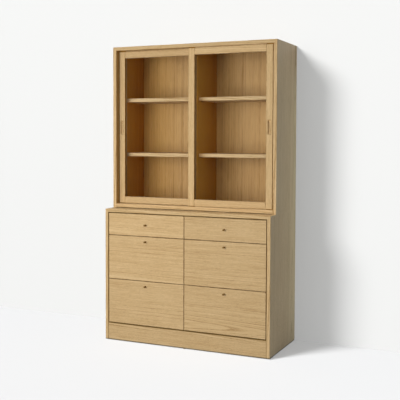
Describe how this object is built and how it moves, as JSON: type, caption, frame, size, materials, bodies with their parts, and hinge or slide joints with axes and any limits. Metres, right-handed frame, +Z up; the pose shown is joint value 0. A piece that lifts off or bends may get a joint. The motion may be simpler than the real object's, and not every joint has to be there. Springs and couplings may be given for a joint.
{
  "type": "kitchen cabinet",
  "caption": "Tall oak kitchen cabinet: a glazed upper unit with sliding doors, set back on a drawer unit with small round knobs, a ledge along its front and a flush plinth.",
  "frame": {"origin": "on the floor, at the centre of the whole outline, knobs included", "axes": "+Z up, +X to the right as one faces the doors, +Y from the front to the rear"},
  "size_m": [1.185, 0.535, 2],
  "materials": {
    "beech_dowels": "bare beech",
    "brass": "aged satin brass",
    "door_glass": "clear polished glass",
    "glide_plastic": "matt dark brown plastic",
    "oak_back": "satin clear finish on oak veneer, upright grain",
    "oak_case_level": "satin clear finish on oak, grain across the width",
    "oak_case_upright": "satin clear finish on oak, upright grain",
    "oak_door_level": "satin clear finish on oak, grain across the width",
    "oak_door_upright": "satin clear finish on oak, upright grain",
    "oak_drawer_bottom": "thin clear finish on pale veneer",
    "oak_drawer_box": "thin clear finish on pale wood",
    "oak_front": "satin clear finish on oak, grain across the width",
    "oak_pull": "satin clear finish on oak, upright grain",
    "oak_shelf": "satin clear finish on oak, grain across the width",
    "steel_fixings": "zinc-plated steel"
  },
  "bodies": {
    "case": {"back_screws": "steel_fixings", "case_dowels": "beech_dowels", "floor_glides": "glide_plastic", "kickboard": "oak_case_level", "lower_back": "oak_back", "lower_bottom": "oak_case_level", "lower_divider": "oak_case_upright", "lower_side_left": "oak_case_upright", "lower_side_right": "oak_case_upright", "lower_top": "oak_case_level", "shelf_left_lower": "oak_shelf", "shelf_left_upper": "oak_shelf", "shelf_pins": "steel_fixings", "shelf_right_lower": "oak_shelf", "shelf_right_upper": "oak_shelf", "upper_back": "oak_back", "upper_bottom": "oak_case_level", "upper_divider": "oak_case_upright", "upper_side_left": "oak_case_upright", "upper_side_right": "oak_case_upright", "upper_top": "oak_case_level", "drawer_runners": "oak_drawer_box"},
    "left_door": {"left_door_beads": "oak_door_upright", "left_door_bottom_rail": "oak_door_level", "left_door_glass": "door_glass", "left_door_pull": "oak_pull", "left_door_stile_left": "oak_door_upright", "left_door_stile_right": "oak_door_upright", "left_door_top_rail": "oak_door_level"},
    "right_door": {"right_door_beads": "oak_door_upright", "right_door_bottom_rail": "oak_door_level", "right_door_glass": "door_glass", "right_door_pull": "oak_pull", "right_door_stile_left": "oak_door_upright", "right_door_stile_right": "oak_door_upright", "right_door_top_rail": "oak_door_level"},
    "drawer_left_top": {"drawer_left_top_bottom": "oak_drawer_bottom", "drawer_left_top_box": "oak_drawer_box", "drawer_left_top_front": "oak_front", "drawer_left_top_knob": "brass"},
    "drawer_left_middle": {"drawer_left_middle_bottom": "oak_drawer_bottom", "drawer_left_middle_box": "oak_drawer_box", "drawer_left_middle_front": "oak_front", "drawer_left_middle_knob": "brass"},
    "drawer_left_lower": {"drawer_left_lower_bottom": "oak_drawer_bottom", "drawer_left_lower_box": "oak_drawer_box", "drawer_left_lower_front": "oak_front", "drawer_left_lower_knob": "brass"},
    "drawer_right_top": {"drawer_right_top_bottom": "oak_drawer_bottom", "drawer_right_top_box": "oak_drawer_box", "drawer_right_top_front": "oak_front", "drawer_right_top_knob": "brass"},
    "drawer_right_middle": {"drawer_right_middle_bottom": "oak_drawer_bottom", "drawer_right_middle_box": "oak_drawer_box", "drawer_right_middle_front": "oak_front", "drawer_right_middle_knob": "brass"},
    "drawer_right_lower": {"drawer_right_lower_bottom": "oak_drawer_bottom", "drawer_right_lower_box": "oak_drawer_box", "drawer_right_lower_front": "oak_front", "drawer_right_lower_knob": "brass"}
  },
  "joints": [
    {"name": "left_door_slide", "type": "slide", "parent": "case", "child": "left_door", "axis": [1, 0, 0], "range_m": [0, 0.5425]},
    {"name": "right_door_slide", "type": "slide", "parent": "case", "child": "right_door", "axis": [1, 0, 0], "range_m": [-0.5425, 0]},
    {"name": "drawer_left_top_slide", "type": "slide", "parent": "case", "child": "drawer_left_top", "axis": [0, -1, 0], "range_m": [0, 0.32]},
    {"name": "drawer_left_middle_slide", "type": "slide", "parent": "case", "child": "drawer_left_middle", "axis": [0, -1, 0], "range_m": [0, 0.32]},
    {"name": "drawer_left_lower_slide", "type": "slide", "parent": "case", "child": "drawer_left_lower", "axis": [0, -1, 0], "range_m": [0, 0.32]},
    {"name": "drawer_right_top_slide", "type": "slide", "parent": "case", "child": "drawer_right_top", "axis": [0, -1, 0], "range_m": [0, 0.32]},
    {"name": "drawer_right_middle_slide", "type": "slide", "parent": "case", "child": "drawer_right_middle", "axis": [0, -1, 0], "range_m": [0, 0.32]},
    {"name": "drawer_right_lower_slide", "type": "slide", "parent": "case", "child": "drawer_right_lower", "axis": [0, -1, 0], "range_m": [0, 0.32]}
  ]
}
